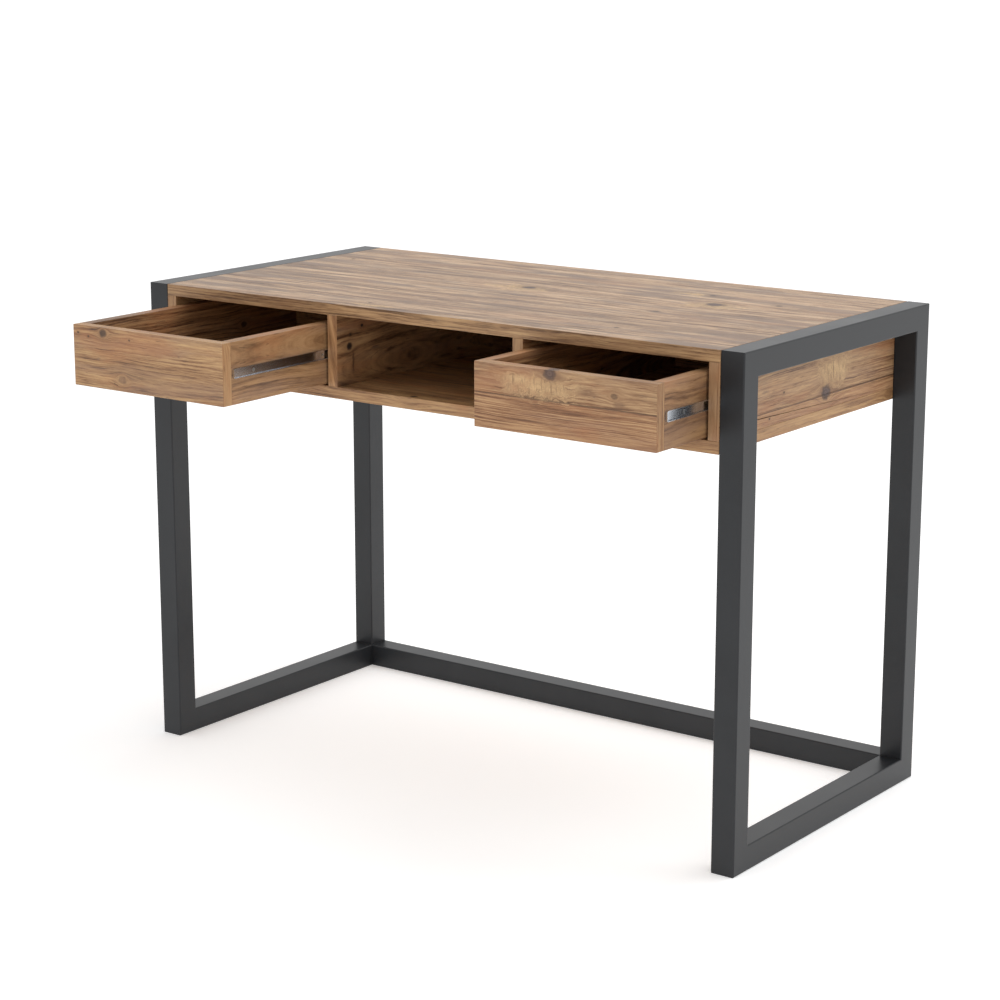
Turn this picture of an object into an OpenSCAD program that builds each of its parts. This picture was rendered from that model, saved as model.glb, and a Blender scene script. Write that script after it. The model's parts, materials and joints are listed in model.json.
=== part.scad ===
// Writing desk: two closed loops of square steel tube carry a shallow pine body
// with an open middle compartment and a drawer on ball-bearing slides on each side.
// X runs across the desk, -Y is the front, Z is up.
// The origin is on the floor, in the middle of the desk's box with its drawers as set.

/* [Desk] */
// Width over both side frames
desk_w = 1100; // [900:1:1600]
// Depth over the side frames, drawers closed
desk_d = 536; // [500:1:800]
// Height of the desk top above the floor
desk_h = 750; // [600:1:1100]
// Height of the pine body, top board included
body_h = 145; // [120:1:220]
// Thickness of every pine board of the body
board_t = 18; // [15:0.1:24]
// Clear width of the open middle compartment
middle_w = 328; // [250:1:450]

/* [Steel frames] */
// Outside size of the square tube
tube = 38; // [30:0.1:50]
// Wall of the tube
tube_wall = 1.5; // [1.2:0.1:3]
// Radius of the tube's outer corners
tube_r = 2; // [1:0.1:3]
// How far a plug reaches into the stretcher
plug_l = 45; // [30:1:80]

/* [Drawers] */
// How far the left drawer stands open
left_pull = 229; // [0:1:230]
// How far the right drawer stands open
right_pull = 121; // [0:1:230]
// Thickness of the drawer boards
drawer_t = 18; // [15:0.1:22]
// Thickness of the drawer bottoms
bottom_t = 6; // [4:0.1:9]
// Height of a drawer bottom above the drawer's lower edge
bottom_rise = 10; // [6:0.1:14]
// Depth of the groove that holds a drawer bottom
bottom_groove = 6; // [4:0.1:8]
// Gap between a drawer and the panel beside it
side_gap = 4.5; // [4:0.1:8]
// Gap under a drawer
gap_below = 2.5; // [1:0.1:5]
// Finger gap above a drawer front
finger_gap = 13.5; // [10:0.1:25]
// Free space behind a closed drawer
rear_gap = 10; // [5:1:60]

/* [Drawer slides] */
// Length of a slide
slide_l = 400; // [330:1:480]
// Length of the ball cage; what is left of the slide is the travel
cage_l = 96; // [70:1:120]
// Distance of the slides behind the desk's front
slide_setback = 20; // [19:0.1:30]
// Height of the channel on the drawer side
channel_h = 15; // [14:0.1:20]
// Sheet thickness of the channel and of the cabinet rail
sheet_t = 0.8; // [0.7:0.05:1]
// Gap between the channel's rims and the cabinet panel
rim_gap = 0.7; // [0.5:0.1:1]
// Radius of the bearing balls
ball_r = 1; // [0.9:0.05:1.1]
// Distance between balls in a row
ball_pitch = 14; // [8:0.5:30]

/* [Fasteners] */
// Radius of the wooden dowels
dowel_r = 4; // [3:0.1:5]
// Length of the wooden dowels
dowel_l = 30; // [24:1:40]
// Radius of the cam discs
cam_r = 7.5; // [6:0.1:8]
// Thickness of the cam discs
cam_t = 12.5; // [10:0.1:13]
// Distance of a cam's centre from its panel's end
cam_reach = 24; // [20:0.5:30]
// Radius of the frame bolts
bolt_r = 3; // [2.5:0.1:4]
// Length of the frame bolts under the head
bolt_l = 25; // [20:1:30]

/* [Hidden] */
$fn = 48;

LEFT = -1;
RIGHT = 1;
OUTER = 1;
INNER = -1;
STEEL = "#3f4144";
PINE = "#a98560";
PINE_PALE = "#b8946c";
ZINC = "#c9ccd0";
BEECH = "#d9bd8c";
cut = 1;            // how far a cutting shape runs past the face that it opens
hole_play = 0.1;    // radial play of a dowel, cam or screw in its hole
fit_play = 0.05;    // radial play of a ball in its race and of a bolt in its nut

// The body between the two frames
inner_w = desk_w - 2 * tube;
front_y = max(left_pull, right_pull) / 2 - desk_d / 2;
rear_y = front_y + desk_d;
body_z = desk_h - body_h;
bay_z = body_z + board_t;
bay_top = desk_h - board_t;
bay_h = bay_top - bay_z;
bay_inner_x = middle_w / 2 + board_t;
bay_outer_x = inner_w / 2 - board_t;
bay_w = bay_outer_x - bay_inner_x;
bay_x = (bay_inner_x + bay_outer_x) / 2;

// The drawers
drawer_w = bay_w - 2 * side_gap;
drawer_h = bay_h - gap_below - finger_gap;
drawer_l = desk_d - board_t - rear_gap;
drawer_z = bay_z + gap_below;
groove_play = 0.15; // play of a drawer bottom in its groove, each way
slide_z = drawer_z + drawer_h / 2;

// The slides, in their own frame: u from the cabinet panel towards the drawer, v up
race_r = ball_r + fit_play;
race_bite = 0.25;   // how deep a race is sunk in its flange
ball_u = 2;
ball_v = channel_h / 2 - sheet_t + race_bite - race_r;
rail_h = 2 * (ball_v - race_r + race_bite);
rail_start = 2;     // the cabinet rail starts behind the channel's closed front end
rail_lip = 1;       // how far the rail's flanges reach past the balls' centres
rail_depth = ball_u + rail_lip;
cage_t = 0.3;
cage_gap = 0.15;    // between the rail's flanges and the cage
cage_u = rail_depth + cage_gap;
cage_wing = 2.2;    // width of the cage's wings
cage_start = (slide_l + rail_start - cage_l) / 2;
corner_cut = 1.5;   // chamfer of the channel's front corners
balls_a_row = floor((cage_l - ball_pitch) / ball_pitch) + 1;
screw_end = 30;     // distance of a rail's end screws from its ends
channel_screw_end = 45; // the same for a channel's

// Small hardware
screw_r = 1.6;
screw_head_r = 2.9;
slide_screw_l = 14;
screw_tip_r = 0.3;
screw_tip_l = 1;
cross_recess = [3.2, 0.7, 1.4]; // each slot of a screw's cross recess
bolt_head_r = 6;
bolt_head_t = 3;
bolt_inset = 27;    // distance of a frame bolt from the desk's front or rear
bolt_rise = 22;     // height of the lower frame bolts above the bottom board
bolt_drop = 27;     // distance of the upper frame bolts below the top board
bolt_bury = 3.5;    // depth of the pocket for a bolt's head
nut_r = 4.5;
nut_l = 13;
nut_flange_r = 6;
nut_flange_t = 0.8;
nut_recess_t = 1;
hex_r = 2.3;        // half across the corners of a 4 mm hexagon key
hex_sink = 2;
dowel_sink = 12;    // how deep a dowel goes into the face of a board
dowel_chamfer = 1;
dowel_inset = 45;   // distance of the end dowels from the front or rear edge
drawer_dowel_rise = 28; // height of the lower dowels above a drawer's lower edge
drawer_dowel_drop = 18; // distance of the upper dowels below its upper edge
cam_inset = 90;     // distance of the cams from the front or rear edge
cam_bolt_r = 2.5;
cam_bolt_head_r = 3.5;
cam_bolt_head_t = 3;
cam_bolt_sink = 11; // thread in the top or bottom board
cam_depth = cam_t - cam_bolt_head_r; // of a cam bolt's axis, so that the disc takes its whole head
cam_slot_r = 3.8;
cam_collar_t = 2;
cam_recess = [3, 6.5, 1.2];     // each slot of a cam's cross recess
plug_play = 0.4;    // gap between a plug and the inside of the stretcher
plug_wall = 3;
csk_r = 5;          // countersunk head of a stretcher screw
csk_t = 2.6;

bolt_ys = [front_y + bolt_inset, rear_y - bolt_inset];
bolt_zs = [bay_z + bolt_rise, bay_top - bolt_drop];
side_panel_x = inner_w / 2 - board_t / 2;
divider_x = middle_w / 2 + board_t / 2;
divider_l = desk_d - board_t;
side_dowel_ys = [front_y + dowel_inset, (front_y + rear_y) / 2, rear_y - dowel_inset];
side_cam_ys = [front_y + cam_inset, rear_y - cam_inset];
back_dowel_xs = [-bay_x, 0, bay_x];
drawer_dowel_zs = [drawer_z + drawer_dowel_rise, drawer_z + drawer_h - drawer_dowel_drop];

function pull(side) = side == LEFT ? left_pull : right_pull;

// ---------- shared shapes ----------

module on_side(side) {
    if (side == LEFT) mirror([1, 0, 0]) children();
    else children();
}

// A cylinder along X that starts at the origin
module rod_x(r, l) {
    rotate([0, 90, 0]) cylinder(r = r, h = l);
}

// A cylinder along Y that starts at the origin
module rod_y(r, l) {
    rotate([-90, 0, 0]) cylinder(r = r, h = l);
}

// An outline in the YZ plane, drawn out along X
module extrude_x(l) {
    rotate([90, 0, 90]) linear_extrude(l) children();
}

// A profile in the XZ plane, drawn out along Y
module extrude_y(l) {
    translate([0, l, 0]) rotate([90, 0, 0]) linear_extrude(l) children();
}

module tube_section() {
    difference() {
        union() {
            square([tube, tube - 2 * tube_r], center = true);
            square([tube - 2 * tube_r, tube], center = true);
            for (sx = [-1, 1], sy = [-1, 1])
                translate([sx, sy] * (tube / 2 - tube_r)) circle(tube_r);
        }
        square(tube - 2 * tube_wall, center = true);
    }
}

module dowel(l = dowel_l) {
    cylinder(r1 = dowel_r - dowel_chamfer, r2 = dowel_r, h = dowel_chamfer);
    translate([0, 0, dowel_chamfer]) cylinder(r = dowel_r, h = l - 2 * dowel_chamfer);
    translate([0, 0, l - dowel_chamfer])
        cylinder(r1 = dowel_r, r2 = dowel_r - dowel_chamfer, h = dowel_chamfer);
}

module dowel_hole() {
    cylinder(r = dowel_r + hole_play, h = dowel_l);
}

// Countersunk screw along -Z, its head's flat top at the origin
module countersunk_screw(l) {
    head_t = screw_head_r - screw_r;
    difference() {
        union() {
            translate([0, 0, -head_t]) cylinder(r1 = screw_r, r2 = screw_head_r, h = head_t);
            translate([0, 0, screw_tip_l - l]) cylinder(r = screw_r, h = l - head_t - screw_tip_l);
            translate([0, 0, -l]) cylinder(r1 = screw_tip_r, r2 = screw_r, h = screw_tip_l);
        }
        for (a = [0, 90]) rotate(a) cube(cross_recess, center = true);
    }
}

module countersunk_hole(l) {
    head_t = screw_head_r - screw_r;
    translate([0, 0, -head_t])
        cylinder(r1 = screw_r + hole_play, r2 = screw_head_r + hole_play, h = head_t);
    translate([0, 0, -l]) cylinder(r = screw_r + hole_play, h = l - head_t);
    cylinder(r = screw_head_r + hole_play, h = cut);
}

// ---------- steel frames ----------

// One mitred tube of the right frame: an outline in the YZ plane cuts a straight tube to length
module frame_member(outline) {
    color(STEEL) translate([inner_w / 2, front_y, 0]) intersection() {
        children();
        extrude_x(tube) polygon(outline);
    }
}

module post() {
    color(STEEL) difference() {
        frame_member([[0, 0], [tube, tube], [tube, desk_h - tube], [0, desk_h]])
            translate([tube / 2, tube / 2, 0]) linear_extrude(desk_h) tube_section();
        for (z = bolt_zs) translate([inner_w / 2 - cut, bolt_ys[0], z])
            rod_x(nut_r + hole_play, tube_wall + 2 * cut);
    }
}

module rail() {
    frame_member([[0, 0], [tube, tube], [desk_d - tube, tube], [desk_d, 0]])
        translate([tube / 2, 0, tube / 2]) extrude_y(desk_d) tube_section();
}

module at_rear() { translate([0, front_y + rear_y, 0]) mirror([0, 1, 0]) children(); }
module at_top() { translate([0, 0, desk_h]) mirror([0, 0, 1]) children(); }

module left_front_post() { on_side(LEFT) post(); }
module left_rear_post() { on_side(LEFT) at_rear() post(); }
module left_top_rail() { on_side(LEFT) at_top() rail(); }
module left_bottom_rail() { on_side(LEFT) rail(); }
module right_front_post() { post(); }
module right_rear_post() { at_rear() post(); }
module right_top_rail() { at_top() rail(); }
module right_bottom_rail() { rail(); }

// The two screws that hold the stretcher on its plugs, heads flush with its rear face
module stretcher_screw(play = 0) {
    translate([inner_w / 2 - plug_l / 2, rear_y, tube / 2]) rotate([90, 0, 0]) {
        cylinder(r1 = csk_r + play, r2 = bolt_r + play, h = csk_t);
        cylinder(r = bolt_r + play, h = tube / 2 + play);
    }
}

module rear_stretcher() {
    color(STEEL) difference() {
        translate([-inner_w / 2, rear_y - tube / 2, tube / 2])
            rotate([90, 0, 90]) linear_extrude(inner_w) tube_section();
        for (side = [LEFT, RIGHT]) on_side(side) stretcher_screw(hole_play);
    }
}

// Short tube welded to the frame; the stretcher slides over it
module stretcher_plug() {
    plug_side = tube - 2 * tube_wall - 2 * plug_play;
    color(STEEL) difference() {
        translate([inner_w / 2 - plug_l, rear_y - tube / 2, tube / 2]) extrude_x(plug_l) difference() {
            square(plug_side, center = true);
            square(plug_side - 2 * plug_wall, center = true);
        }
        stretcher_screw(hole_play);
    }
}

module left_stretcher_plug() { on_side(LEFT) stretcher_plug(); }
module right_stretcher_plug() { stretcher_plug(); }

module stretcher_screws() {
    color(STEEL) for (side = [LEFT, RIGHT]) on_side(side) difference() {
        stretcher_screw();
        translate([inner_w / 2 - plug_l / 2, rear_y + cut, tube / 2]) rotate([90, 0, 0])
            cylinder(r = hex_r, h = cut + hex_sink, $fn = 6);
    }
}

// Bolts from inside the drawer bays, through the side panels, into the posts
module frame_bolts() {
    head_x = inner_w / 2 - board_t + bolt_bury;
    color(ZINC) for (side = [LEFT, RIGHT], y = bolt_ys, z = bolt_zs)
        on_side(side) translate([head_x, y, z]) difference() {
            union() {
                rod_x(bolt_r, bolt_l);
                translate([-bolt_head_t, 0, 0]) rod_x(bolt_head_r, bolt_head_t);
            }
            translate([-bolt_head_t - cut, 0, 0]) rotate([0, 90, 0])
                cylinder(r = hex_r, h = cut + hex_sink, $fn = 6);
        }
}

module frame_rivet_nuts() {
    color(ZINC) for (side = [LEFT, RIGHT], y = bolt_ys, z = bolt_zs)
        on_side(side) translate([inner_w / 2, y, z]) difference() {
            union() {
                rod_x(nut_r, nut_l);
                translate([-nut_flange_t, 0, 0]) rod_x(nut_flange_r, nut_flange_t);
            }
            translate([-nut_flange_t - cut, 0, 0])
                rod_x(bolt_r + fit_play, nut_l + nut_flange_t + 2 * cut);
        }
}

// ---------- the pine body ----------

// Dowels stand across the joints of an upright at x with the boards under and over it
module upright_dowels(x, ys) {
    for (y = ys) {
        translate([x, y, bay_z - dowel_sink]) children();
        translate([x, y, bay_top + dowel_sink]) mirror([0, 0, 1]) children();
    }
}

// Cams start from the two ends of an upright at x
module upright_cams(x, ys) {
    for (y = ys) {
        translate([x, y, bay_z]) children();
        translate([x, y, bay_top]) mirror([0, 0, 1]) children();
    }
}

// Every dowel between an upright and a board, and those of the back panel
module board_dowels() {
    for (side = [LEFT, RIGHT]) on_side(side) {
        upright_dowels(side_panel_x, side_dowel_ys) children();
        upright_dowels(divider_x, side_dowel_ys) children();
    }
    for (x = back_dowel_xs) upright_dowels(x, [rear_y - board_t / 2]) children();
}

// The dividers' dowels into the back panel
module back_dowels() {
    for (side = [LEFT, RIGHT], z = [bay_z + bay_h / 4, bay_top - bay_h / 4])
        on_side(side) translate([divider_x, rear_y - board_t + dowel_sink, z])
            rotate([90, 0, 0]) children();
}

module body_dowels() {
    color(BEECH) {
        board_dowels() dowel();
        back_dowels() dowel();
    }
}

// Every cam with its bolt's axis as the origin's Z; the panel's bay side is at -cam_depth
module every_cam() {
    for (side = [LEFT, RIGHT]) on_side(side) {
        upright_cams(side_panel_x - board_t / 2 + cam_depth, side_cam_ys) children();
        upright_cams(divider_x + board_t / 2 - cam_depth, side_cam_ys) mirror([1, 0, 0]) children();
    }
}

// Cam disc, seen on the panel's bay side; the bolt's head sits in its far half
module cam_lock() {
    difference() {
        translate([-cam_depth, 0, cam_reach]) rod_x(cam_r, cam_t);
        cylinder(r = cam_slot_r, h = cam_reach + cam_bolt_head_t);
        translate([-cam_depth, 0, cam_reach])
            for (a = [0, 90]) rotate([a, 0, 0]) cube(cam_recess, center = true);
    }
}

module cam_bolt() {
    translate([0, 0, -cam_bolt_sink]) cylinder(r = cam_bolt_r, h = cam_bolt_sink + cam_reach);
    cylinder(r = cam_bolt_head_r, h = cam_collar_t);
    translate([0, 0, cam_reach - cam_bolt_head_t / 2])
        cylinder(r = cam_bolt_head_r, h = cam_bolt_head_t);
}

module cam_locks() { color(ZINC) every_cam() cam_lock(); }
module cam_bolts() { color(ZINC) every_cam() cam_bolt(); }

module cam_pocket() {
    translate([-cam_depth - cut, 0, cam_reach]) rod_x(cam_r + hole_play, cam_t + cut);
    translate([0, 0, -cut]) cylinder(r = cam_slot_r + hole_play, h = cam_reach + cut);
}

module cam_bolt_hole() {
    translate([0, 0, -cam_bolt_sink]) cylinder(r = cam_bolt_r + hole_play, h = cam_bolt_sink + cut);
}

// The screw holes of every cabinet rail
module rail_screw_places() {
    for (side = [LEFT, RIGHT], which = [OUTER, INNER], y = [screw_end, slide_l / 2, slide_l - screw_end])
        slide_place(side, which, 0) translate([sheet_t, y, 0]) rotate([0, 90, 0]) children();
}

module board(w, l, t) {
    translate([-w / 2, 0, 0]) cube([w, l, t]);
}

module long_board(z) {
    color(PINE) difference() {
        translate([0, front_y, z]) board(inner_w, desk_d, board_t);
        board_dowels() dowel_hole();
        every_cam() cam_bolt_hole();
    }
}

module top_board() { long_board(bay_top); }
module bottom_board() { long_board(body_z); }

module side_panel(side) {
    color(PINE_PALE) difference() {
        on_side(side) translate([inner_w / 2 - board_t, front_y, bay_z]) cube([board_t, desk_d, bay_h]);
        board_dowels() dowel_hole();
        every_cam() cam_pocket();
        rail_screw_places() countersunk_hole(slide_screw_l);
        for (y = bolt_ys, z = bolt_zs) on_side(side) translate([inner_w / 2, y, z]) {
            translate([-board_t - cut, 0, 0]) rod_x(bolt_head_r + hole_play, bolt_bury + cut);
            translate([-board_t, 0, 0]) rod_x(bolt_r + hole_play, board_t + cut);
            translate([-nut_recess_t, 0, 0]) rod_x(nut_flange_r + hole_play, nut_recess_t + cut);
        }
    }
}

module left_side_panel() { side_panel(LEFT); }
module right_side_panel() { side_panel(RIGHT); }

module divider(side) {
    color(PINE_PALE) difference() {
        on_side(side) translate([middle_w / 2, front_y, bay_z]) cube([board_t, divider_l, bay_h]);
        board_dowels() dowel_hole();
        back_dowels() dowel_hole();
        every_cam() cam_pocket();
        rail_screw_places() countersunk_hole(slide_screw_l);
    }
}

module left_divider() { divider(LEFT); }
module right_divider() { divider(RIGHT); }

module back_panel() {
    color(PINE) difference() {
        translate([0, rear_y - board_t, bay_z]) board(inner_w - 2 * board_t, board_t, bay_h);
        board_dowels() dowel_hole();
        back_dowels() dowel_hole();
    }
}

// ---------- drawers ----------

// Places a drawer: its origin is at the front, the lower edge and the middle of its width
module drawer_place(side) {
    translate([side * bay_x, front_y - pull(side), drawer_z]) children();
}

// The drawer bottom, or the groove that it needs when given some play
module drawer_floor(play = 0) {
    w = drawer_w - 2 * drawer_t + 2 * bottom_groove + 2 * play;
    l = drawer_l - 2 * drawer_t + 2 * bottom_groove + 2 * play;
    translate([-w / 2, drawer_t - bottom_groove - play, bottom_rise - play])
        cube([w, l, bottom_t + 2 * play]);
}

// The dowels between a drawer's sides and its front and back
module drawer_joints() {
    for (sx = [-1, 1], z = drawer_dowel_zs) {
        translate([sx * (drawer_w - drawer_t) / 2, drawer_t - dowel_sink, z - drawer_z])
            rotate([-90, 0, 0]) children();
        translate([sx * (drawer_w / 2 - drawer_t + dowel_sink), drawer_l - drawer_t / 2, z - drawer_z])
            rotate([0, -sx * 90, 0]) children();
    }
}

module drawer_front(side) {
    color(PINE) drawer_place(side) difference() {
        board(drawer_w, drawer_t, drawer_h);
        drawer_floor(groove_play);
        drawer_joints() dowel_hole();
    }
}

module drawer_side(side, hand) {
    color(PINE_PALE) difference() {
        drawer_place(side) difference() {
            on_side(hand) translate([drawer_w / 2 - drawer_t, drawer_t, 0])
                cube([drawer_t, drawer_l - drawer_t, drawer_h]);
            drawer_floor(groove_play);
            drawer_joints() dowel_hole();
        }
        channel_screw_places(side) countersunk_hole(slide_screw_l);
    }
}

module drawer_back(side) {
    color(PINE) drawer_place(side) difference() {
        translate([0, drawer_l - drawer_t, 0]) board(drawer_w - 2 * drawer_t, drawer_t, drawer_h);
        drawer_floor(groove_play);
        drawer_joints() dowel_hole();
    }
}

module drawer_bottom(side) { color(BEECH) drawer_place(side) drawer_floor(); }
module drawer_dowels(side) { color(BEECH) drawer_place(side) drawer_joints() dowel(); }

module left_drawer_front() { drawer_front(LEFT); }
module left_drawer_left_side() { drawer_side(LEFT, LEFT); }
module left_drawer_right_side() { drawer_side(LEFT, RIGHT); }
module left_drawer_back() { drawer_back(LEFT); }
module left_drawer_bottom() { drawer_bottom(LEFT); }
module left_drawer_dowels() { drawer_dowels(LEFT); }
module right_drawer_front() { drawer_front(RIGHT); }
module right_drawer_left_side() { drawer_side(RIGHT, LEFT); }
module right_drawer_right_side() { drawer_side(RIGHT, RIGHT); }
module right_drawer_back() { drawer_back(RIGHT); }
module right_drawer_bottom() { drawer_bottom(RIGHT); }
module right_drawer_dowels() { drawer_dowels(RIGHT); }

// ---------- drawer slides ----------

// Places a slide: u = 0 on the cabinet panel's face, y = 0 at the rail's front end
module slide_place(side, which, travel) {
    on_side(side) translate([which == OUTER ? bay_outer_x : bay_inner_x,
                             front_y + slide_setback - travel, slide_z])
        if (which == OUTER) mirror([1, 0, 0]) children();
        else children();
}

// The screw holes of a drawer's two channels
module channel_screw_places(side) {
    for (which = [OUTER, INNER], y = [channel_screw_end, slide_l / 2, slide_l - channel_screw_end])
        slide_place(side, which, pull(side))
            translate([side_gap - sheet_t, y, 0]) rotate([0, -90, 0]) children();
}

// The grooves that the balls of a slide run in
module races() {
    for (s = [-1, 1]) translate([ball_u, cut, s * ball_v]) rod_y(race_r, slide_l);
}

// The rail on the cabinet panel: a shallow channel, open towards the drawer
module cabinet_rail(side, which) {
    color(ZINC) difference() {
        slide_place(side, which, 0) difference() {
            translate([0, rail_start, -rail_h / 2]) cube([rail_depth, slide_l - rail_start, rail_h]);
            translate([sheet_t, 0, sheet_t - rail_h / 2])
                cube([rail_depth, slide_l + cut, rail_h - 2 * sheet_t]);
            races();
        }
        rail_screw_places() countersunk_hole(slide_screw_l);
    }
}

// The channel on the drawer side: it opens towards the cabinet panel, its front end is closed
module drawer_channel(side, which) {
    color(ZINC) difference() {
        slide_place(side, which, pull(side)) difference() {
            translate([rim_gap, 0, 0]) extrude_x(side_gap - rim_gap) channel_outline(0);
            extrude_x(side_gap - sheet_t) channel_outline(sheet_t);
            races();
        }
        channel_screw_places(side) countersunk_hole(slide_screw_l);
    }
}

// The channel seen from the side, its edges drawn in; drawn in, it runs out at the rear end
module channel_outline(inset) {
    end = slide_l + inset;
    top = channel_h / 2 - inset;
    polygon([[inset, corner_cut - top], [inset, top - corner_cut], [inset + corner_cut, top],
             [end, top], [end, -top], [inset + corner_cut, -top]]);
}

module ball_places() {
    row = (balls_a_row - 1) * ball_pitch;
    for (s = [-1, 1], n = [0 : balls_a_row - 1])
        translate([ball_u, cage_start + (cage_l - row) / 2 + n * ball_pitch, s * ball_v]) children();
}

module balls(side, which) {
    color(ZINC) slide_place(side, which, pull(side) / 2) ball_places() sphere(ball_r);
}

module ball_cage(side, which) {
    color(ZINC) slide_place(side, which, pull(side) / 2) difference() {
        translate([0, cage_start, 0]) extrude_y(cage_l) {
            translate([cage_u, -ball_v - cage_t / 2]) square([cage_t, 2 * ball_v + cage_t]);
            for (s = [-1, 1])
                translate([cage_u + cage_t - cage_wing, s * ball_v - cage_t / 2])
                    square([cage_wing, cage_t]);
        }
        ball_places() sphere(race_r);
    }
}

module left_drawer_outer_cabinet_rail() { cabinet_rail(LEFT, OUTER); }
module left_drawer_outer_ball_cage() { ball_cage(LEFT, OUTER); }
module left_drawer_outer_balls() { balls(LEFT, OUTER); }
module left_drawer_outer_channel() { drawer_channel(LEFT, OUTER); }
module left_drawer_inner_cabinet_rail() { cabinet_rail(LEFT, INNER); }
module left_drawer_inner_ball_cage() { ball_cage(LEFT, INNER); }
module left_drawer_inner_balls() { balls(LEFT, INNER); }
module left_drawer_inner_channel() { drawer_channel(LEFT, INNER); }
module right_drawer_outer_cabinet_rail() { cabinet_rail(RIGHT, OUTER); }
module right_drawer_outer_ball_cage() { ball_cage(RIGHT, OUTER); }
module right_drawer_outer_balls() { balls(RIGHT, OUTER); }
module right_drawer_outer_channel() { drawer_channel(RIGHT, OUTER); }
module right_drawer_inner_cabinet_rail() { cabinet_rail(RIGHT, INNER); }
module right_drawer_inner_ball_cage() { ball_cage(RIGHT, INNER); }
module right_drawer_inner_balls() { balls(RIGHT, INNER); }
module right_drawer_inner_channel() { drawer_channel(RIGHT, INNER); }

module cabinet_rail_screws() { color(ZINC) rail_screw_places() countersunk_screw(slide_screw_l); }
module left_channel_screws() {
    color(ZINC) channel_screw_places(LEFT) countersunk_screw(slide_screw_l);
}
module right_channel_screws() {
    color(ZINC) channel_screw_places(RIGHT) countersunk_screw(slide_screw_l);
}

// ---------- assembly ----------

left_front_post();
left_rear_post();
left_top_rail();
left_bottom_rail();
right_front_post();
right_rear_post();
right_top_rail();
right_bottom_rail();
rear_stretcher();
left_stretcher_plug();
right_stretcher_plug();
stretcher_screws();
frame_bolts();
frame_rivet_nuts();
top_board();
bottom_board();
left_side_panel();
right_side_panel();
left_divider();
right_divider();
back_panel();
body_dowels();
cam_locks();
cam_bolts();
left_drawer_front();
left_drawer_left_side();
left_drawer_right_side();
left_drawer_back();
left_drawer_bottom();
left_drawer_dowels();
right_drawer_front();
right_drawer_left_side();
right_drawer_right_side();
right_drawer_back();
right_drawer_bottom();
right_drawer_dowels();
left_drawer_outer_cabinet_rail();
left_drawer_outer_ball_cage();
left_drawer_outer_balls();
left_drawer_outer_channel();
left_drawer_inner_cabinet_rail();
left_drawer_inner_ball_cage();
left_drawer_inner_balls();
left_drawer_inner_channel();
right_drawer_outer_cabinet_rail();
right_drawer_outer_ball_cage();
right_drawer_outer_balls();
right_drawer_outer_channel();
right_drawer_inner_cabinet_rail();
right_drawer_inner_ball_cage();
right_drawer_inner_balls();
right_drawer_inner_channel();
cabinet_rail_screws();
left_channel_screws();
right_channel_screws();
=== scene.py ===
"""Looks of the writing desk: its materials, the studio and the camera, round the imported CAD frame."""

import json
import math
from functools import reduce

import bpy
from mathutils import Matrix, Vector


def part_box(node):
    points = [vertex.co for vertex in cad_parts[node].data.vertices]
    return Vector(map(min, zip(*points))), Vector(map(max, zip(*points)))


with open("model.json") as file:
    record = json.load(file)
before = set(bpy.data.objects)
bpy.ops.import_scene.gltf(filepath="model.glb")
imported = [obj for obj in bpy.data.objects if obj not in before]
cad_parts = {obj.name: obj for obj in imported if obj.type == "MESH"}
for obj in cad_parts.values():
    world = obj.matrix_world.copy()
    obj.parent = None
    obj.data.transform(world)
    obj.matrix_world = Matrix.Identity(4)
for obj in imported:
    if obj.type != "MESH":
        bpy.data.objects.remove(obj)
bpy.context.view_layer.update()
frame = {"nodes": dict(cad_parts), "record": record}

MM = 0.001
X, Y, Z = range(3)
TILE = 0.37         # shifts one board's texture space from the next, so that no two are alike
MIX_COLOUR_INPUTS = (0, 6, 7)       # a mix node's factor and its two colours
MIX_COLOUR_OUTPUT = 2
MID_NOISE = 0.5     # the mean of every noise


# ---------- node trees written as expressions ----------

class Value:
    """One socket of a node tree; arithmetic on it adds math nodes."""

    def __init__(self, graph, socket):
        self.graph = graph
        self.socket = socket

    def __add__(self, other):
        return self.graph.math("ADD", self, other)

    def __radd__(self, other):
        return self.graph.math("ADD", other, self)

    def __sub__(self, other):
        return self.graph.math("SUBTRACT", self, other)

    def __rsub__(self, other):
        return self.graph.math("SUBTRACT", other, self)

    def __mul__(self, other):
        return self.graph.math("MULTIPLY", self, other)

    def __truediv__(self, other):
        return self.graph.math("DIVIDE", self, other)

    def __abs__(self):
        return self.graph.math("ABSOLUTE", self)

    def power(self, other):
        return self.graph.math("POWER", self, other)

    def root(self):
        return self.graph.math("SQRT", self)

    def sine(self):
        return self.graph.math("SINE", self)

    def most(self, other):
        return self.graph.math("MAXIMUM", self, other)

    def rise(self, start, end):
        """0 at start, 1 at end, smooth between them and flat outside."""
        made = self.graph.node("ShaderNodeMapRange", interpolation_type="SMOOTHSTEP")
        self.graph.put(made.inputs["Value"], self)
        made.inputs["From Min"].default_value = start
        made.inputs["From Max"].default_value = end
        return Value(self.graph, made.outputs[0])


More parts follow.
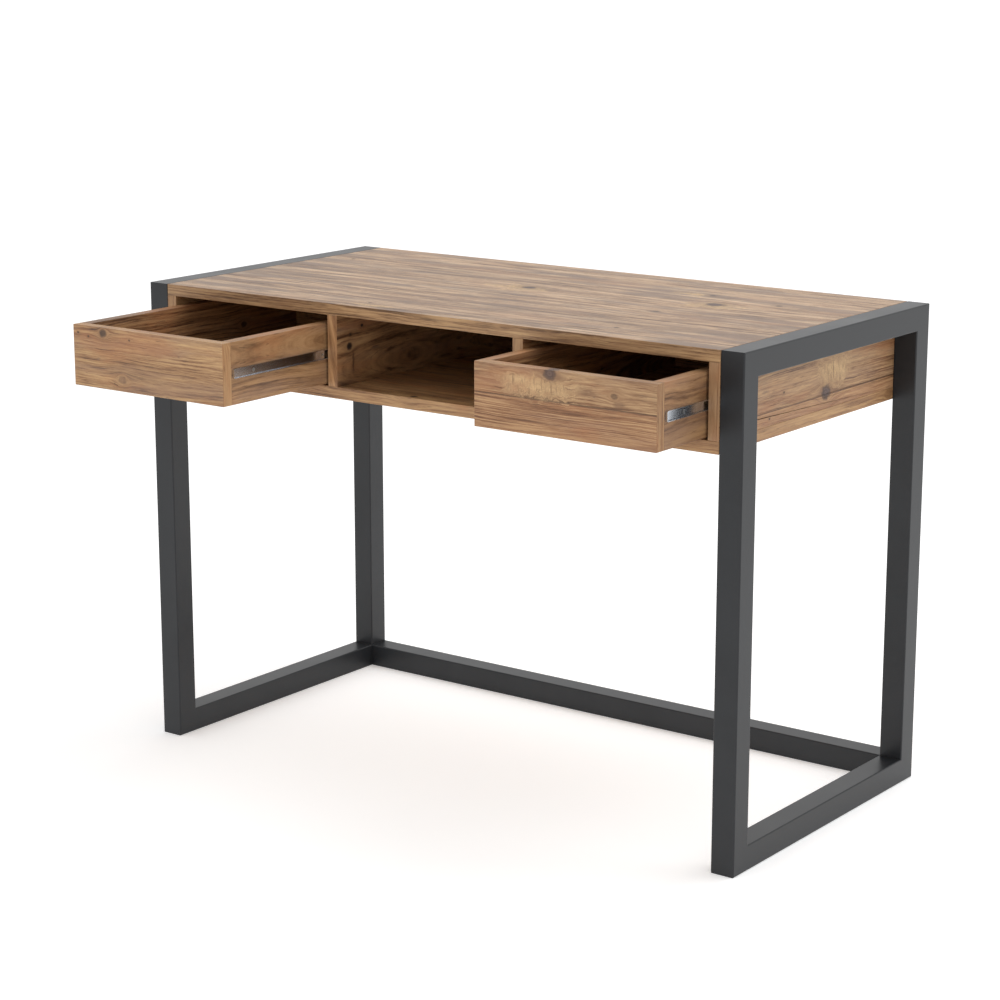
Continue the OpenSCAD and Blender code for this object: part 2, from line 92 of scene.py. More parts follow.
class Graph:
    """A material's node tree with a Principled shader at its end."""

    def __init__(self, name):
        self.material = bpy.data.materials.new(name)
        self.material.use_nodes = True
        self.tree = self.material.node_tree
        self.tree.nodes.clear()
        self.shader = self.node("ShaderNodeBsdfPrincipled")
        output = self.node("ShaderNodeOutputMaterial")
        self.tree.links.new(self.shader.outputs[0], output.inputs["Surface"])

    def node(self, kind, **settings):
        made = self.tree.nodes.new(kind)
        for key, value in settings.items():
            setattr(made, key, value)
        return made

    def put(self, socket, value):
        """Links a Value to a socket, or sets a plain number or colour on it."""
        if isinstance(value, Value):
            self.tree.links.new(value.socket, socket)
        else:
            socket.default_value = value

    def math(self, operation, *values):
        made = self.node("ShaderNodeMath", operation=operation)
        for socket, value in zip(made.inputs, values):
            self.put(socket, value)
        return Value(self, made.outputs[0])

    def where(self, output):
        """The three parts of the point in the row frame ("Object", in metres) or of the "Normal"."""
        where = self.node("ShaderNodeTexCoord")
        split = self.node("ShaderNodeSeparateXYZ")
        self.tree.links.new(where.outputs[output], split.inputs[0])
        return [Value(self, socket) for socket in split.outputs]

    def choose(self, share, first, second):
        """Two plain values mixed."""
        return first + (second - first) * share

    def vector(self, x, y, z):
        made = self.node("ShaderNodeCombineXYZ")
        for socket, value in zip(made.inputs, (x, y, z)):
            self.put(socket, value)
        return Value(self, made.outputs[0])

    def noise(self, x, y, z, detail, roughness, distortion=0.0):
        """Noise from 0 to 1, its features about one unit of x, y and z across."""
        made = self.node("ShaderNodeTexNoise")
        self.put(made.inputs["Vector"], self.vector(x, y, z))
        made.inputs["Scale"].default_value = 1.0
        made.inputs["Detail"].default_value = detail
        made.inputs["Roughness"].default_value = roughness
        made.inputs["Distortion"].default_value = distortion
        return Value(self, made.outputs[0])

    def grains(self, point, pitches, detail, roughness):
        """Noise over a point, with so many features a metre along each axis."""
        return self.noise(*[part * pitch for part, pitch in zip(point, pitches)], detail, roughness)

    def mix(self, share, first, second, blend="MIX"):
        """Two colours mixed."""
        made = self.node("ShaderNodeMix", data_type="RGBA", blend_type=blend, clamp_factor=True)
        factor, colour_a, colour_b = [made.inputs[number] for number in MIX_COLOUR_INPUTS]
        self.put(factor, share)
        self.put(colour_a, first)
        self.put(colour_b, second)
        return Value(self, made.outputs[MIX_COLOUR_OUTPUT])

    def ramp(self, value, stops):
        """A colour for each value, from pairs of a place and a colour."""
        made = self.node("ShaderNodeValToRGB")
        self.put(made.inputs[0], value)
        points = made.color_ramp.elements
        while len(points) < len(stops):
            points.new(0.5)
        for point, (position, colour) in zip(points, stops):
            point.position = position
            point.color = colour
        return Value(self, made.outputs[0])

    def finish(self, colour, roughness, height, strength, depth):
        """Gives the shader its colour, roughness and bump, and returns the material."""
        made = self.node("ShaderNodeBump")
        made.inputs["Strength"].default_value = strength
        made.inputs["Distance"].default_value = depth
        self.put(made.inputs["Height"], height)
        self.put(self.shader.inputs["Normal"], Value(self, made.outputs[0]))
        self.put(self.shader.inputs["Base Color"], colour)
        self.put(self.shader.inputs["Roughness"], roughness)
        return self.material


def rgb(red, green, blue):
    """A colour from 0 to 255 a channel, as the linear colour that shaders take."""
    def linear(part):
        part = part / 255
        return part / 12.92 if part <= 0.04045 else ((part + 0.055) / 1.055) ** 2.4
    return (linear(red), linear(green), linear(blue), 1.0)


# ---------- pine ----------

# Colours of the stained and brushed pine, from its late wood to its early wood, and the greyer
# and redder tones that it drifts to; drift is how far it goes to the grey one
BODY_TONES = {"crack": rgb(74, 46, 26), "late": rgb(126, 88, 56), "middle": rgb(168, 128, 87),
              "early": rgb(200, 161, 113), "grey": rgb(148, 118, 98), "red": rgb(170, 112, 70),
              "drift": 0.35}
# The top's tones are partly its own colour and partly painted reflection: its face is made lighter and
# greyer, and drifts far to grey, as painted sheen of the sky on it
TOP_TONES_WITH_PAINTED_SHEEN = dict(BODY_TONES, late=rgb(104, 78, 57), middle=rgb(171, 138, 108), early=rgb(211, 181, 148),
                 grey=rgb(128, 107, 92), red=rgb(162, 124, 95), drift=0.85)
RIGHT_FRONT_TONES = dict(BODY_TONES, middle=rgb(157, 119, 83), early=rgb(194, 157, 114))
BRIGHT_SIDE_TONES = dict(BODY_TONES, late=rgb(110, 77, 48), middle=rgb(154, 115, 77),
                         early=rgb(186, 146, 103))
SIDE_TONES = dict(BODY_TONES, late=rgb(102, 70, 44), middle=rgb(148, 110, 75), early=rgb(182, 143, 101))
PANEL_TONES = dict(BODY_TONES, late=rgb(122, 86, 57), middle=rgb(164, 127, 91), early=rgb(198, 161, 118))
PLY_TONES = {"crack": rgb(126, 90, 60), "late": rgb(150, 112, 76), "middle": rgb(178, 142, 104),
             "early": rgb(196, 164, 124), "grey": rgb(172, 142, 112), "red": rgb(180, 134, 98), "drift": 0.3}
TONE_STOPS = {"crack": 0.0, "late": 0.2, "middle": 0.5, "early": 0.92}      # their places in the figure
# Multiplies the top's narrow faces to a warmer, darker tone, so that only its face carries the painted sky
# sheen
WARM_EDGE = rgb(247, 236, 210)
# Painted light: multiplies the left divider's narrow faces by more than one, so that they give back more
# light than falls on them
PAINTED_LIGHT_EDGE = (1.4, 1.38, 1.34, 1.0)
KNOT_CORE = rgb(62, 46, 46)
KNOT_HEART = rgb(110, 86, 76)
KNOT_PIT = rgb(36, 23, 16)
KNOT_RIM = rgb(50, 32, 26)
FLAME_PALE = rgb(216, 180, 131)
FLAME_HOOK = rgb(100, 66, 40)
SMUDGE = rgb(96, 76, 64)
STAIN = rgb(118, 84, 58)

# The noises that make up the pine: how many features a metre they have across the grain, into the
# board and along the grain, their detail and roughness, and a shift of their own
LAYERS = {
    "curl": (62, 40, 58, 4, 0.6, 0.0),
    "ragged": (55, 20, 34, 3, 0.6, 0.0),
    "bend": (7, 7, 2.8, 2, 0.55, 0.0),
    "ripple": (38, 38, 15, 3, 0.55, 0.0),
    "wobble": (150, 150, 100, 3, 0.6, 0.0),
    "band": (70, 12, 2.6, 4, 0.62, 0.0),
    "streak": (300, 40, 12, 5, 0.7, 0.0),
    "stripe": (520, 0, 5, 4, 0.65, 7.7),
    "fibre": (1500, 1500, 60, 2, 0.6, 0.0),
    "patch": (60, 0, 5, 2, 0.55, 3.1),
    "drift": (26, 9, 3.2, 4, 0.65, 5.0),
    "broad": (15, 0, 1.6, 3, 0.5, 27.0),
    "blush": (20, 9, 5, 4, 0.65, 9.0),
    "pale": (30, 9, 4, 4, 0.65, 14.0),
    "crack": (620, 200, 30, 3, 0.65, 0.0),
    "smudge": (95, 30, 26, 4, 0.65, 21.0),
    "fur": (60, 40, 330, 3, 0.6, 0.0),
}
CURL_DISTORTION = 1.0
FUR_DISTORTION = 0.4

# Noises that show as patches: the level where a patch begins, and the level where it is full
PATCH_LEVELS = {
    "patch": (0.4, 0.65),
    "drift": (0.47, 0.62),
    "broad": (0.5, 0.68),
    "blush": (0.5, 0.68),
    "pale": (0.52, 0.68),
    "crack": (0.6, 0.7),
    "smudge": (0.64, 0.76),
    "fur": (0.5, 0.68),
}

# How much each thing adds to the figure, which runs from 0, dark, to 1, pale
FIGURE = {"band": 1.3, "streak": 2.2, "stripe": 3.0, "fibre": 0.7, "late": 0.34}
EDGE_CALM = 0.3         # how much less figure the long narrow faces have
END_CALM = 0.35         # and the bands on the ends

# How strongly each thing colours the wood
SHARES = {"broad": 0.3, "blush": 0.45, "pale": 0.4, "crack": 0.6, "smudge": 0.55, "end": 0.1,
          "plank": 0.25, "glue_line": 0.75, "stain": 0.6, "flame": 0.7, "hook": 0.25, "fur": 0.6,
          "late": 0.5, "line": 0.7, "halo": 0.35, "rim": 0.5}

# How square to the grain, or to an axis, a face is to count as an end, or as a wide or narrow face
END_FACE = (0.6, 0.8)
SQUARE_FACE = (0.5, 0.9)

LATE_PITCH = 1050       # lines of late wood: radians a metre
LATE_DRIFT = 12         # how far the broad bands push them about, in radians
LATE_SHARPNESS = 4.0
CURL_REACH = 75 * MM    # how far the grain is thrown about in a flame
BEND_REACH = 15 * MM    # by its slow wander
RIPPLE_REACH = 2.8 * MM     # and by its quick ripple
RAGGED_RIM = 1.8        # how ragged the rims of flames and stains are
FLAME_FADE = 0.9        # how far in from its rim a flame is full
STAIN_FADE = 0.8        # and a stain
HOOK_LEVELS = (0.02, 0.004)     # the dark hooks in a flame follow the level lines of its curl
CALM_STRIPES = 0.15     # the stripes outside their zone
ZONE_FADE = (1.3, 0.8)  # where the stripes end and where they are full, in half widths of the zone

PLANK_SHIFT = 0.31      # sets off the grain of one plank from the next
PLANK_STEP = 0.5 * MM   # half the width over which one plank's grain turns into the next
GLUE_LINE = (1.6 * MM, 0.2 * MM)    # the dark line between two planks, from its rim to its core

RING_SLANT = 0.3        # how fast the rings of a flat-sawn board move aside as they go into it
EDGE_SLANT = 0.8        # and how much faster they do on its narrow faces
HEART_PITCH = 2.1       # bends of the tree's heart: features a metre
HEART_BEND = 1.9        # how far the heart bends, in its own depths
HEART_SPREAD = 0.3      # how far from the middle the heart may lie, as a share of the board's width
HEART_TURN = 2.1        # radians from one board's place of the heart to the next

KNOT_REACH = 1.3        # how far the grain is pushed aside by a knot, in its radii
KNOT_STREAM = 0.45      # under 1, the grain bends round a knot in a long oval
KNOT_OVAL = 0.65        # under 1, the knot itself is longer along the grain
KNOT_RAGGED = 1.1       # how ragged its outline is
KNOT_RINGS = 700        # rings in its core: features a metre
KNOT_SWIRL = 4          # how uneven they are
KNOT_HEART_LEVELS = (0.4, 0.66)
KNOT_EDGE = (1.3, 0.5)  # where a knot's dark core ends and where it is full, in radii
HALO_REACH = 4.0        # how far the wood round a knot is darker, in radii
RIM_PLACE = 0.85        # where its dark rim lies, and how wide that is, in radii
RIM_WIDTH = (0.5, 0.05)
PIT_RADIUS = 5.5 * MM   # knots up to this size are dark right through

LINE_RAGGED = (6 * MM, 4 * MM)      # how far a dark line strays along the grain and across it
LINE_FADE_ALONG = (1.0, 0.5)        # from its rim to its core, in half lengths and in half widths
LINE_FADE_ACROSS = (1.0, 0.3)

WOOD_ROUGHNESS = 0.5
STREAK_ROUGHNESS = 0.3
LATE_POLISH = 0.06
RELIEF = {"figure": 0.7, "fibre": 0.3, "crack": 0.5}
BRUSHED_STRENGTH = 0.45
BRUSHED_DEPTH = 0.6 * MM


class Board(Graph):
    """The node tree of a wooden board, with coordinates that follow its grain.

    On the ends the coordinates turn, so that the ends look banded with wood of their own.
    """

    def __init__(self, name, node, grain, seed):
        super().__init__(name)
        low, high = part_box(node)
        size = high - low
        thin = min((axis for axis in range(3) if axis != grain), key=lambda axis: size[axis])
        across = X + Y + Z - grain - thin
        self.seed = seed
        self.colour = None
        self.length = size[grain]
        self.width = size[across]
        point = self.where("Object")
        facing = self.where("Normal")
        self.end = abs(facing[grain]).rise(*END_FACE)
        self.wide = abs(facing[thin]).rise(*SQUARE_FACE)
        self.edge = abs(facing[across]).rise(*SQUARE_FACE)
        self.inner = 1.0 - self.end
        ahead, beside, under = [point[axis] - low[axis] for axis in (grain, across, thin)]
        self.along = self.choose(self.end, ahead, beside)
        self.side = self.choose(self.end, beside, under)
        self.depth = self.choose(self.end, under, ahead)
        self.ragged = self.layer("ragged", self.side) - MID_NOISE
        self.wobble = self.layer("wobble", self.side) - MID_NOISE

    def layer(self, kind, cross, distortion=0.0):
        """One of the noises, laid over a coordinate that runs across the grain."""
        fine, deep, long, detail, roughness, own = LAYERS[kind]
        into = self.depth * deep if deep else own
        length = self.along * long + (self.seed * TILE + own)
        return self.noise(cross * fine, into, length, detail, roughness, distortion)

    def patches(self, kind, cross, distortion=0.0):
        """One of the noises as patches, 1 inside them and 0 outside."""
        return self.layer(kind, cross, distortion).rise(*PATCH_LEVELS[kind])

    def spot(self, fade, place_along, place_side, half_long, half_wide):
        """A ragged oval, 1 inside it and 0 outside."""
        run = (self.along - place_along * self.length) / half_long
        off = (self.side - place_side * self.width) / half_wide
        out = (run * run + off * off).root() - self.ragged * RAGGED_RIM
        return (1.0 - out).rise(0.0, fade) * self.inner

    def tint(self, share, colour):
        """Mixes a colour into the board's colour so far."""
        self.colour = self.mix(share, self.colour, colour)


def bend_grain(board, flow, knots):
    """The grain wanders a little, and flows round each knot."""
    flow = flow + (board.layer("bend", board.side) - MID_NOISE) * BEND_REACH
    flow = flow + (board.layer("ripple", board.side) - MID_NOISE) * RIPPLE_REACH
    for knot_along, knot_side, radius, _ in knots:
        run = board.along - knot_along * board.length
        off = board.side - knot_side * board.width
        reach = radius * KNOT_REACH
        far = run * run * KNOT_STREAM + off * off
        flow = flow - off * (reach * reach) / far.most(reach * reach)
    return flow


def cut_rings(board, flow, pith):
    """The year rings as the board's faces cut them: flat-sawn, or arched over the tree's heart."""
    if pith is None:
        return flow + board.depth * (RING_SLANT + board.edge * EDGE_SLANT)
    bends = board.noise(board.along * HEART_PITCH + board.seed * TILE, 0.5, 0.5, 1, 0.55)
    heart = pith + (bends - MID_NOISE) * pith * HEART_BEND
    middle = board.width * (0.5 + HEART_SPREAD * math.sin(board.seed * HEART_TURN))
    off = flow - middle
    under = board.depth + heart
    return (off * off + under * under).root()


def paint_flames(board, flames, curl, late):
    """Pale curly flames with dark hooks and short dark hairs."""
    inside = reduce(Value.most, flames)
    board.tint(inside * SHARES["flame"], FLAME_PALE)
    board.tint(inside * abs(curl).rise(*HOOK_LEVELS) * SHARES["hook"], FLAME_HOOK)
    board.tint(inside * board.patches("fur", board.side, FUR_DISTORTION) * SHARES["fur"], FLAME_HOOK)
    board.tint(inside * late * SHARES["late"], FLAME_HOOK)


def paint_line(board, flow, tones, line_along, line_side, half_long, half_wide):
    """A dark streak or crack that follows the grain."""
    stray_along, stray_across = LINE_RAGGED
    run = abs(board.along - line_along * board.length + board.wobble * stray_along) / half_long
    off = abs(flow - line_side * board.width + board.wobble * stray_across) / half_wide
    inside = run.rise(*LINE_FADE_ALONG) * off.rise(*LINE_FADE_ACROSS) * board.inner
    board.tint(inside * SHARES["line"], tones["crack"])


def paint_knot(board, tones, knot_along, knot_side, radius, dark):
    """A knot with its halo, its core, the rings in it and its rim."""
    run = board.along - knot_along * board.length
    off = board.side - knot_side * board.width
    far = (run * run * KNOT_OVAL + off * off).root() + board.wobble * radius * KNOT_RAGGED
    core = KNOT_PIT
    if radius > PIT_RADIUS:
        rings = board.noise(far * KNOT_RINGS, board.seed, board.wobble * KNOT_SWIRL, 2, 0.55)
        core = board.mix(rings.rise(*KNOT_HEART_LEVELS), KNOT_CORE, KNOT_HEART)
    seen = board.inner * dark
    core_end, core_full = [radius * share for share in KNOT_EDGE]
    rim_end, rim_full = [radius * share for share in RIM_WIDTH]
    board.tint(far.rise(radius * HALO_REACH, radius) * SHARES["halo"] * seen, tones["late"])
    board.tint(far.rise(core_end, core_full) * seen, core)
    board.tint(abs(far - radius * RIM_PLACE).rise(rim_end, rim_full) * SHARES["rim"] * seen, KNOT_RIM)


def pine(name, node, grain, tones, seed, knots=(), flames=(), lines=(), stains=(), seams=(),
         pith=None, stripes=0.3, zone=None, contrast=1.0, edge_tint=None):
    """A board of knotty pine whose grain runs along an axis, with its ends banded.

    knots: (place along the grain, place across it, radius, how dark), the places as shares of the board
    flames: (along, across, half length, half width), pale curly figure
    lines: (along, across, half length, half width), dark streaks and cracks
    stains: (along, across, half length, half width), soft brown patches
    seams: where planks meet, as shares of the board's width
    pith: how far under the face the heart of the tree lies, for an arched figure
    stripes: how strong the fine parallel stripes are
    zone: (middle, half width) of the strip that they keep to, as shares of the board's width
    contrast: how far the figure's tones lie apart
    edge_tint: a colour that the narrow faces are multiplied by
    """
    board = Board(name, node, grain, seed)

    # The grain curls in the flames, and each plank has grain of its own
    curl = board.layer("curl", board.side, CURL_DISTORTION) - MID_NOISE
    curly = [board.spot(FLAME_FADE, *flame) for flame in flames]
    flow = board.side
    for inside in curly:
        flow = flow + inside * curl * CURL_REACH
    planks = []
    for seam in seams:
        off = board.side - seam * board.width
        below = off.rise(PLANK_STEP, -PLANK_STEP) * board.inner
        flow = flow + below * PLANK_SHIFT
        planks.append((below, abs(off).rise(*GLUE_LINE) * board.inner))
    flow = bend_grain(board, flow, knots)
    ring = cut_rings(board, flow, pith)

    # The figure: broad bands, streaks, stripes, fibres and the thin lines of late wood
    band, streak, stripe = [board.layer(kind, ring) for kind in ("band", "streak", "stripe")]
    fibre = board.layer("fibre", board.side)
    if zone is not None:
        zone_middle, zone_half = zone
        zone_end, zone_full = [zone_half * share for share in ZONE_FADE]
        inside = abs(board.side / board.width - zone_middle).rise(zone_end, zone_full)
        stripes = CALM_STRIPES + inside * (stripes - CALM_STRIPES)
    waves = (ring * LATE_PITCH + band * LATE_DRIFT).sine() * 0.5 + 0.5
    late = waves.power(LATE_SHARPNESS) * board.patches("patch", ring)
    figure = (band - MID_NOISE) * FIGURE["band"] + (streak - MID_NOISE) * FIGURE["streak"]
    figure = figure + (stripe - MID_NOISE) * stripes * FIGURE["stripe"]
    figure = figure + (fibre - MID_NOISE) * FIGURE["fibre"] - late * FIGURE["late"]
    figure = 0.5 + figure * (1.0 - board.edge * EDGE_CALM - board.end * END_CALM) * contrast
    board.colour = board.ramp(figure, [(place, tones[tone]) for tone, place in TONE_STOPS.items()])

    # Slow drifts of tone over the board, cracks and smudges
    # On the top, whose drift is strong, this grey on the wide face is painted sky reflection
    board.tint(board.patches("drift", flow) * board.wide * tones["drift"], tones["grey"])
    for kind, tone in (("broad", "late"), ("blush", "red"), ("pale", "early")):
        board.tint(board.patches(kind, flow) * SHARES[kind], tones[tone])
    crack = board.patches("crack", ring)
    board.tint(crack * SHARES["crack"] * contrast, tones["crack"])
    board.tint(board.patches("smudge", flow) * board.wide * SHARES["smudge"] * contrast, SMUDGE)
    board.tint(board.end * SHARES["end"], tones["late"])

    # What lies in its own place
    for below, glue_line in planks:
        board.tint(below * SHARES["plank"], tones["red"])
        board.tint(glue_line * SHARES["glue_line"], tones["crack"])
    for stain in stains:
        board.tint(board.spot(STAIN_FADE, *stain) * SHARES["stain"], STAIN)
    if curly:
        paint_flames(board, curly, curl, late)
    for line in lines:
        paint_line(board, flow, tones, *line)
    for knot in knots:
        paint_knot(board, tones, *knot)
    # The top's narrow faces lose the painted sheen of its face; the left divider's narrow faces get painted
    # light
    if edge_tint is not None:
        board.colour = board.mix(1.0 - board.wide, board.colour, edge_tint, "MULTIPLY")

    roughness = WOOD_ROUGHNESS + (streak - MID_NOISE) * STREAK_ROUGHNESS - late * LATE_POLISH
    relief = figure * RELIEF["figure"] + fibre * RELIEF["fibre"] - crack * RELIEF["crack"]
    return board.finish(board.colour, roughness, relief, BRUSHED_STRENGTH, BRUSHED_DEPTH)


def clad(node, material):
    """Gives a CAD node its material."""
    slots = frame["nodes"][node].data.materials
    slots.clear()
    slots.append(material)


SANDED_EDGE = 0.7 * MM
WELD_REACH = 0.01 * MM
SHARP_EDGE = math.radians(60)


def ease_edges(node):
    """Rounds a board's sharp edges a little, as sanding does."""
    board = frame["nodes"][node]
    weld = board.modifiers.new("weld", "WELD")
    weld.merge_threshold = WELD_REACH
    bevel = board.modifiers.new("eased_edges", "BEVEL")
    bevel.width = SANDED_EDGE
    bevel.segments = 2
    bevel.limit_method = "ANGLE"
    bevel.angle_limit = SHARP_EDGE
    bevel.use_clamp_overlap = False
    bevel.harden_normals = True


BOARD_LOOKS = {
    # The top's tones carry painted sky reflection on its face
    "top_board": dict(grain=X, tones=TOP_TONES_WITH_PAINTED_SHEEN, seed=1, edge_tint=WARM_EDGE,
                      knots=[(0.472, 0.576, 9 * MM, 1.0), (0.79, 0.62, 11 * MM, 0.95),
                             (0.051, 0.741, 3 * MM, 0.9), (0.371, 0.078, 2.5 * MM, 0.8),
                             (0.742, 0.757, 4 * MM, 0.8), (0.755, 0.422, 4 * MM, 0.7),
                             (0.872, 0.705, 4 * MM, 0.8), (0.788, 0.132, 3 * MM, 0.8)],
                      flames=[(0.46, 0.56, 75 * MM, 36 * MM), (0.79, 0.6, 70 * MM, 34 * MM),
                              (0.71, 0.75, 50 * MM, 18 * MM), (0.39, 0.04, 46 * MM, 14 * MM)],
                      lines=[(0.089, 0.516, 30 * MM, 3 * MM), (0.401, 0.85, 16 * MM, 2 * MM)]),
    "bottom_board": dict(grain=X, tones=BODY_TONES, seed=2, knots=[(0.475, 0.02, 5 * MM, 0.9)]),
    "right_side_panel": dict(grain=Y, tones=PANEL_TONES, seed=3, contrast=0.8, seams=[0.185],
                             knots=[(0.545, 0.22, 9.5 * MM, 0.95), (0.322, 0.388, 1.5 * MM, 0.9),
                                    (0.25, 0.096, 1.5 * MM, 0.9)],
                             flames=[(0.59, 0.5, 70 * MM, 30 * MM)],
                             lines=[(0.35, 0.64, 84 * MM, 1.2 * MM)]),
    "left_side_panel": dict(grain=Y, tones=BODY_TONES, seed=4, pith=38 * MM,
                            knots=[(0.3, 0.6, 8 * MM, 0.9), (0.78, 0.35, 3 * MM, 0.8)]),
    # The left divider's narrow faces get painted light
    "left_divider": dict(grain=Y, tones=SIDE_TONES, seed=5, pith=40 * MM, edge_tint=PAINTED_LIGHT_EDGE,
                         knots=[(0.115, 0.8, 2.5 * MM, 1.0), (0.062, 0.699, 2 * MM, 1.0),
                                (0.056, 0.536, 5 * MM, 1.0)],
                         lines=[(0.074, 0.33, 3 * MM, 25 * MM)]),
    "right_divider": dict(grain=Y, tones=BODY_TONES, seed=6, pith=40 * MM,
                          knots=[(0.4, 0.4, 5 * MM, 0.9)]),
    "back_panel": dict(grain=X, tones=BODY_TONES, seed=7, pith=42 * MM,
                       knots=[(0.22, 0.6, 7 * MM, 0.9), (0.68, 0.35, 9 * MM, 0.9)]),
    "left_drawer_front": dict(grain=X, tones=BODY_TONES, seed=8, stripes=0.25,
                              knots=[(0.206, 0.909, 5.5 * MM, 0.75), (0.33, 0.19, 6 * MM, 0.35),
                                     (0.032, 0.87, 1.5 * MM, 0.8), (0.103, 0.831, 1.5 * MM, 0.7),
                                     (0.384, 0.851, 1.5 * MM, 0.6)],
                              lines=[(0.285, 0.146, 6 * MM, 1.4 * MM)]),
    "right_drawer_front": dict(grain=X, tones=RIGHT_FRONT_TONES, seed=9, stripes=1.2, zone=(0.34, 0.22),
                               contrast=1.1, seams=[0.54],
                               stains=[(0.63, 0.74, 24 * MM, 11 * MM), (0.8, 0.62, 16 * MM, 7 * MM),
                                       (0.47, 0.9, 16 * MM, 7 * MM)],
                               knots=[(0.424, 0.95, 8 * MM, 0.8), (0.773, 0.736, 4 * MM, 0.45)],
                               flames=[(0.35, 0.74, 95 * MM, 24 * MM)]),
    "left_drawer_back": dict(grain=X, tones=BODY_TONES, seed=10, knots=[(0.6, 0.4, 5 * MM, 0.8)]),
    "right_drawer_back": dict(grain=X, tones=BODY_TONES, seed=11, knots=[(0.3, 0.5, 4 * MM, 0.8)]),
    "left_drawer_left_side": dict(grain=Y, tones=SIDE_TONES, seed=12, knots=[(0.7, 0.5, 5 * MM, 0.8)]),
    "left_drawer_right_side": dict(grain=Y, tones=BRIGHT_SIDE_TONES, seed=13, pith=30 * MM, contrast=0.7),
    "right_drawer_left_side": dict(grain=Y, tones=SIDE_TONES, seed=14, pith=36 * MM),
    "right_drawer_right_side": dict(grain=Y, tones=SIDE_TONES, seed=15, pith=32 * MM, contrast=0.7),
}
PLY_PITH = 60 * MM
PLY_SEED = 20

for board_name, look in BOARD_LOOKS.items():
    clad(board_name, pine("pine_" + board_name, board_name, **look))
    ease_edges(board_name)
for number, hand in enumerate(("left", "right")):
    floor_name = hand + "_drawer_bottom"
    clad(floor_name, pine("ply_" + floor_name, floor_name, X, PLY_TONES, PLY_SEED + number, pith=PLY_PITH))


# ---------- metal and beech ----------

# Features a metre along each axis
POWDER_CLOUD = (9, 9, 9)
POWDER_PEEL = (650, 650, 650)
POWDER_GRAIN = (2600, 2600, 2600)
STEEL_CLOUD = (30, 30, 30)
STEEL_GRAIN = 1500
STEEL_DRAWN = 25        # along the way in which the steel was drawn
BEECH_TONE = (300, 300, 40)
BEECH_FLECK = (1800, 1800, 260)


def powder_coat():
    """Satin charcoal powder coat: fine orange peel, faint cloudiness."""
    graph = Graph("charcoal_powder_coat")
    point = graph.where("Object")
    cloud = graph.grains(point, POWDER_CLOUD, 4, 0.6)
    peel = graph.grains(point, POWDER_PEEL, 2, 0.5)
    grain = graph.grains(point, POWDER_GRAIN, 1, 0.5)
    colour = graph.mix(cloud.rise(0.3, 0.7), rgb(30, 32, 35), rgb(37, 39, 42))
    roughness = 0.36 + (cloud - MID_NOISE) * 0.16 + (grain - MID_NOISE) * 0.06
    graph.shader.inputs["Specular IOR Level"].default_value = 0.38
    return graph.finish(colour, roughness, peel * 0.7 + grain * 0.3, strength=0.12, depth=0.12 * MM)


def bright_steel(name, base, dullness, along=None):
    """Plated sheet steel, drawn along an axis or not at all, with faint handling marks."""
    graph = Graph(name)
    point = graph.where("Object")
    pitches = [STEEL_DRAWN if axis == along else STEEL_GRAIN for axis in (X, Y, Z)]
    drawn = graph.grains(point, pitches, 3, 0.6)
    cloud = graph.grains(point, STEEL_CLOUD, 3, 0.6)
    dull = tuple(part * 0.86 for part in base[:3]) + (1.0,)
    roughness = dullness + (cloud - MID_NOISE) * 0.12 + (drawn - MID_NOISE) * 0.1
    graph.shader.inputs["Metallic"].default_value = 1.0
    return graph.finish(graph.mix(cloud, base, dull), roughness, drawn, strength=0.1, depth=0.05 * MM)


def beech():
    """Plain beech with its short brown flecks."""
    graph = Graph("beech_dowel")
    point = graph.where("Object")
    tone = graph.grains(point, BEECH_TONE, 3, 0.6)
    fleck = graph.grains(point, BEECH_FLECK, 2, 0.5).rise(0.6, 0.72)
    colour = graph.mix(tone, rgb(196, 158, 112), rgb(214, 180, 136))
    colour = graph.mix(fleck * 0.6, colour, rgb(150, 106, 68))
    roughness = 0.55 + (tone - MID_NOISE) * 0.2
    return graph.finish(colour, roughness, fleck, strength=0.2, depth=0.1 * MM)


SLOT_LOOKS = {
    "charcoal_steel": powder_coat(),
    "slide_steel": bright_steel("slide_zinc", rgb(214, 219, 226), dullness=0.2, along=Y),
    "ball_steel": bright_steel("ball_steel", rgb(226, 228, 230), dullness=0.08),
    "zinc": bright_steel("hardware_zinc", rgb(196, 198, 198), dullness=0.28),
    "beech": beech(),
}
for part in frame["record"]["subparts"]:
    if part["material_slot"] in SLOT_LOOKS:
        clad(part["node"], SLOT_LOOKS[part["material_slot"]])


# ---------- studio ----------

WHITE = (1.0, 1.0, 1.0, 1.0)
FLOOR_REACH = 60.0
FLOOR_GAP = 0.3 * MM        # keeps the floor just clear of the frames' undersides
FLOOR_GLOW = 0.3
FLOOR_SPECKLE = (60, 60, 60)
FRONT_LIGHT = 0.7
BACK_LIGHT = 0.96
BRIGHT_SIDE = (-0.48, 0.88, 0.0)    # the way to the brightest part of the surround
BRIGHT_FROM = 0.3           # how far that way the surround is already at its brightest


def make_floor():
    """A wide pale floor just under the feet."""
    graph = Graph("pale_floor")
    speckle = graph.grains(graph.where("Object"), FLOOR_SPECKLE, 2, 0.5)
    graph.put(graph.shader.inputs["Base Color"], graph.mix(speckle, rgb(246, 246, 246), rgb(250, 250, 250)))
    graph.shader.inputs["Roughness"].default_value = 0.9
    graph.shader.inputs["Specular IOR Level"].default_value = 0.0
    graph.shader.inputs["Emission Color"].default_value = WHITE
    graph.shader.inputs["Emission Strength"].default_value = FLOOR_GLOW
    mesh = bpy.data.meshes.new("floor")
    reach = FLOOR_REACH
    corners = [(-reach, -reach, 0), (reach, -reach, 0), (reach, reach, 0), (-reach, reach, 0)]
    mesh.from_pydata(corners, [], [(0, 1, 2, 3)])
    mesh.materials.append(graph.material)
    floor = bpy.data.objects.new("floor", mesh)
    floor.location.z = -FLOOR_GAP
    bpy.context.scene.collection.objects.link(floor)


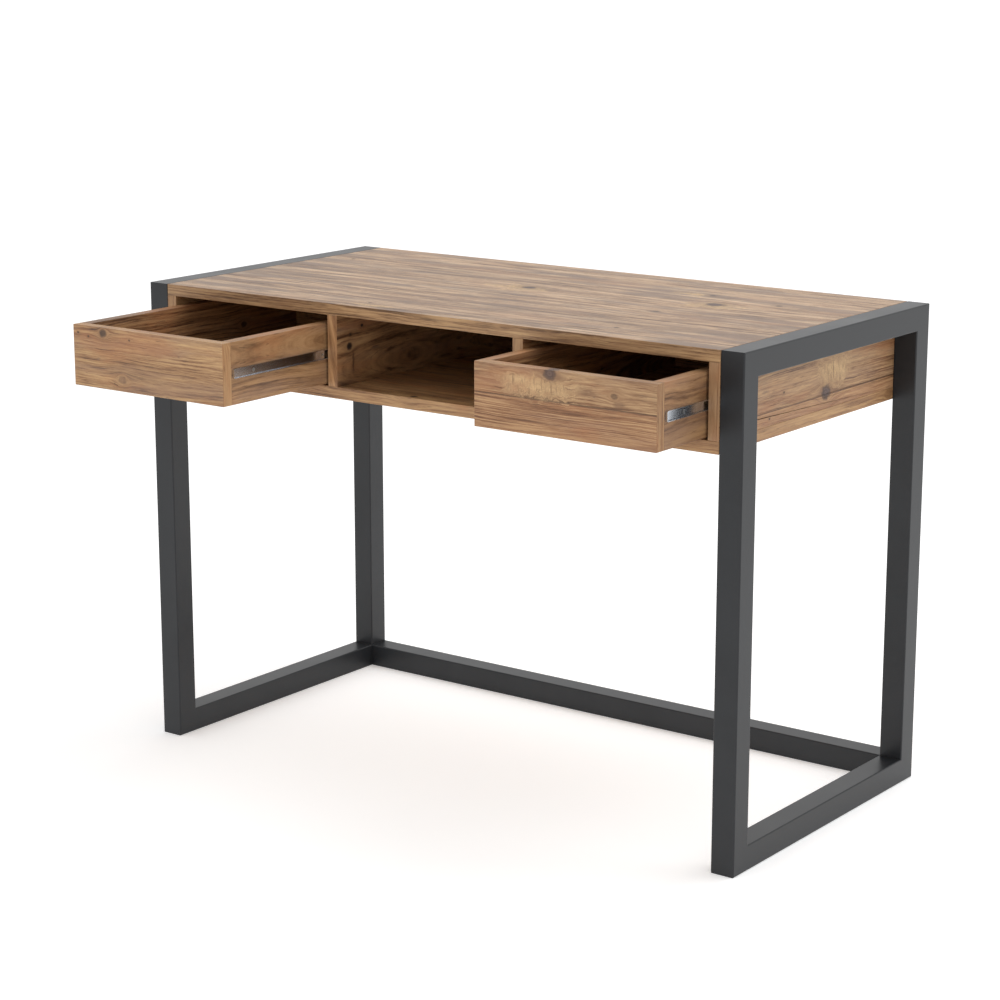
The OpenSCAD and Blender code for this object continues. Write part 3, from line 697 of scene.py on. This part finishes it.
def make_world():
    """An even white surround, a little dimmer to the front and right than behind the desk."""
    world = bpy.data.worlds.new("studio")
    world.use_nodes = True
    tree = world.node_tree
    tree.nodes.clear()
    where = tree.nodes.new("ShaderNodeTexCoord")
    toward = tree.nodes.new("ShaderNodeVectorMath")
    toward.operation = "DOT_PRODUCT"
    toward.inputs[1].default_value = BRIGHT_SIDE
    level = tree.nodes.new("ShaderNodeMapRange")
    light = tree.nodes.new("ShaderNodeBackground")
    output = tree.nodes.new("ShaderNodeOutputWorld")
    tree.links.new(where.outputs["Generated"], toward.inputs[0])
    tree.links.new(toward.outputs["Value"], level.inputs["Value"])
    level.inputs["From Min"].default_value = -1.0
    level.inputs["From Max"].default_value = BRIGHT_FROM
    level.inputs["To Min"].default_value = FRONT_LIGHT
    level.inputs["To Max"].default_value = BACK_LIGHT
    light.inputs["Color"].default_value = WHITE
    tree.links.new(level.outputs[0], light.inputs["Strength"])
    tree.links.new(light.outputs[0], output.inputs["Surface"])
    bpy.context.scene.world = world


def make_lamp(name, place, aim, size, power):
    """A big soft panel of light."""
    lamp = bpy.data.lights.new(name, "AREA")
    lamp.shape = "SQUARE"
    lamp.size = size
    lamp.energy = power
    made = bpy.data.objects.new(name, lamp)
    made.location = place
    made.rotation_mode = "QUATERNION"
    made.rotation_quaternion = (Vector(aim) - Vector(place)).to_track_quat("-Z", "Y")
    bpy.context.scene.collection.objects.link(made)


CAMERA_PLACE = Vector((2.2966, -3.0699, 1.3429))
CAMERA_AZIMUTH = math.radians(36.46)
CAMERA_ELEVATION = math.radians(13.23)
CAMERA_LENS = 92.1


def make_camera():
    """The photograph's view, a long lens from the front and right."""
    data = bpy.data.cameras.new("camera")
    data.sensor_width = 36.0
    data.lens = CAMERA_LENS
    data.clip_end = 200.0
    camera = bpy.data.objects.new("camera", data)
    back = Vector((math.sin(CAMERA_AZIMUTH) * math.cos(CAMERA_ELEVATION),
                   -math.cos(CAMERA_AZIMUTH) * math.cos(CAMERA_ELEVATION),
                   math.sin(CAMERA_ELEVATION)))
    camera.location = CAMERA_PLACE
    camera.rotation_mode = "QUATERNION"
    camera.rotation_quaternion = (-back).to_track_quat("-Z", "Y")
    bpy.context.scene.collection.objects.link(camera)
    bpy.context.scene.camera = camera


make_floor()
make_world()
make_lamp("key", place=(1.2, 1.2, 3.8), aim=(0.1, 0.1, 0.5), size=2.4, power=45.0)
make_camera()
bpy.context.scene.view_settings.view_transform = "Standard"
